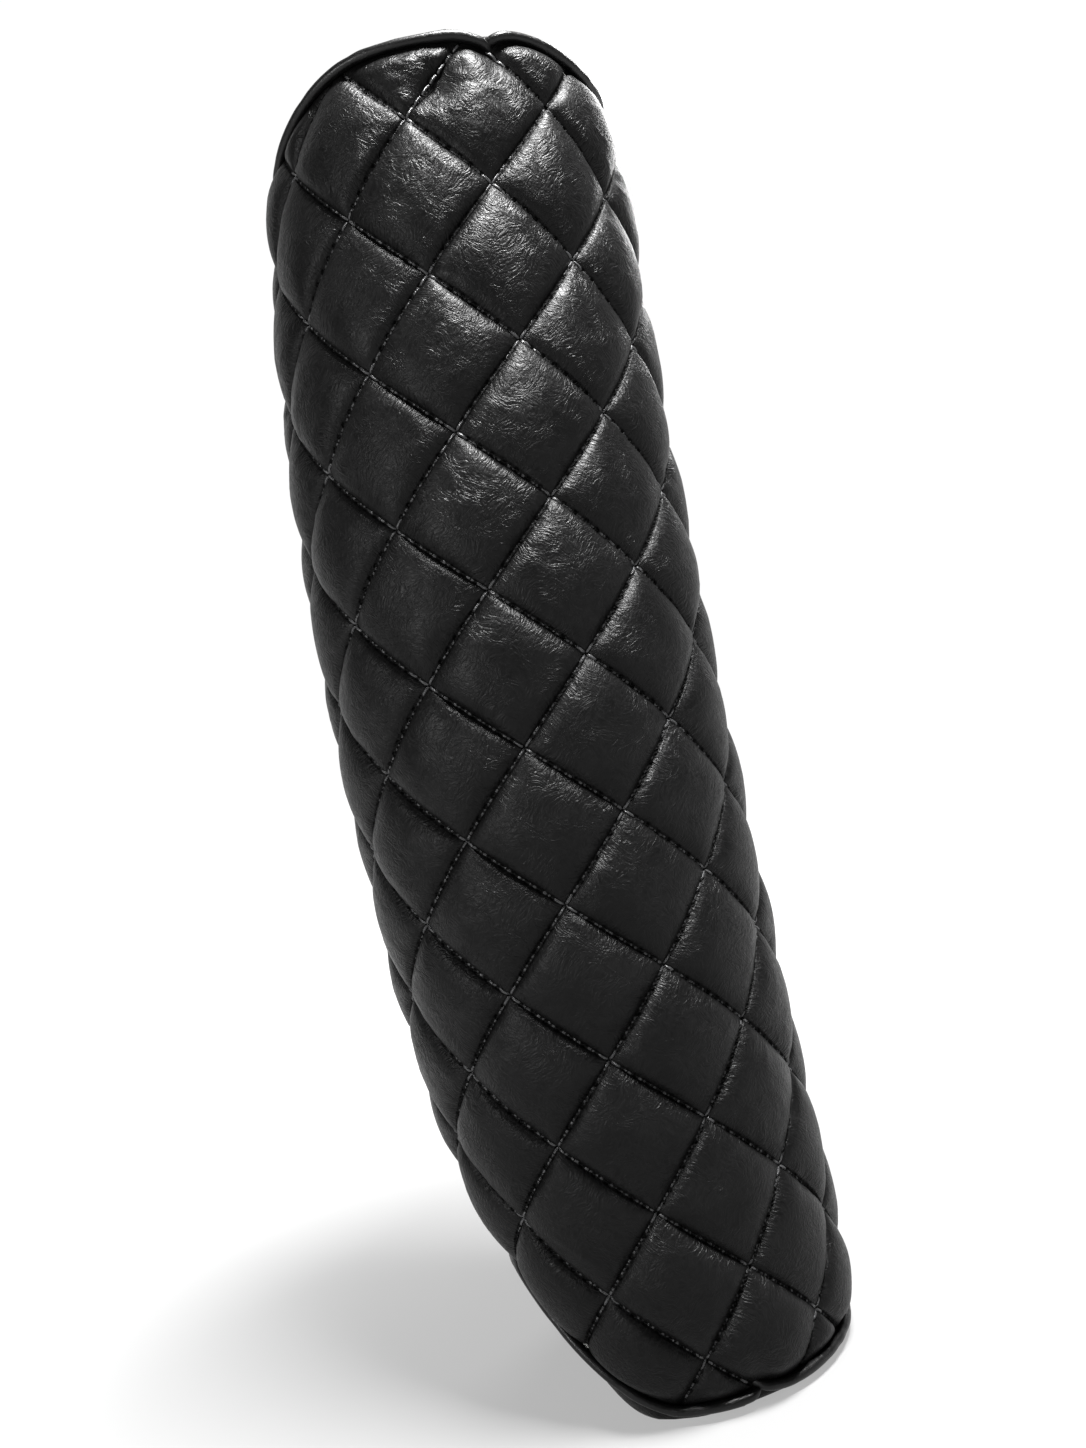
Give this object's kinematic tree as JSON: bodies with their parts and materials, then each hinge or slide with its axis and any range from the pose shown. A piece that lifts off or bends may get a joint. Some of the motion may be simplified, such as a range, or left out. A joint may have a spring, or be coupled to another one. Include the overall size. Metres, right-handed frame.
{
  "type": "quilted leather bolster cushion",
  "caption": "Small round bolster cushion in diamond-quilted leather, with piped, padded ends, a zipped back seam and a stuffed inner.",
  "frame": {"origin": "centre of the flat lower end, on the surface the bolster stands on", "axes": "+Z along the bolster's long axis, -Y the side that faces the viewer, +Y the zipped back seam, +X to the viewer's right"},
  "size_m": [0.1506, 0.1515, 0.5],
  "materials": {
    "leather": "semi-gloss black nappa, fine crease grain",
    "end_leather": "semi-gloss black nappa, finer grain",
    "piping_leather": "smooth black leather, tightly wrapped",
    "thread": "twisted bonded nylon thread",
    "wadding": "polyester wadding",
    "lining": "plain woven backing cloth",
    "cotton_cord": "twisted cotton cord",
    "zip_tape": "herringbone woven tape",
    "zip_metal": "dark nickel plate, worn bright on edges",
    "inner_cotton": "plain cotton",
    "fibre": "loose polyester fibre"
  },
  "bodies": {
    "cushion": {"quilted_leather": "leather", "quilt_wadding": "wadding", "quilt_backing": "lining", "quilting_thread_right_hand": "thread", "quilting_thread_left_hand": "thread", "top_end_leather": "end_leather", "top_end_wadding": "wadding", "bottom_end_leather": "end_leather", "bottom_end_wadding": "wadding", "top_piping_leather": "piping_leather", "top_piping_cord": "cotton_cord", "bottom_piping_leather": "piping_leather", "bottom_piping_cord": "cotton_cord", "zip_facing_left": "piping_leather", "zip_facing_right": "piping_leather", "zip_tape_left": "zip_tape", "zip_tape_right": "zip_tape", "zip_teeth_left": "zip_metal", "zip_teeth_right": "zip_metal", "zip_top_stops": "zip_metal", "zip_bottom_stop": "zip_metal", "inner_case_tube": "inner_cotton", "inner_case_top": "inner_cotton", "inner_case_bottom": "inner_cotton", "inner_filling": "fibre"},
    "slider": {"zip_slider": "zip_metal"},
    "pull": {"zip_pull": "zip_metal"}
  },
  "joints": [
    {"name": "zip_slide", "type": "slide", "parent": "cushion", "child": "slider", "axis": [0, 0, -1], "range_m": [0, 0.379], "deforming": ["zip_teeth_left", "zip_teeth_right"]},
    {"name": "pull_hinge", "type": "hinge", "parent": "slider", "child": "pull", "pos_m": [0, 0.0745, 0.43985], "axis": [1, 0, 0], "range_deg": [0, 150]}
  ]
}
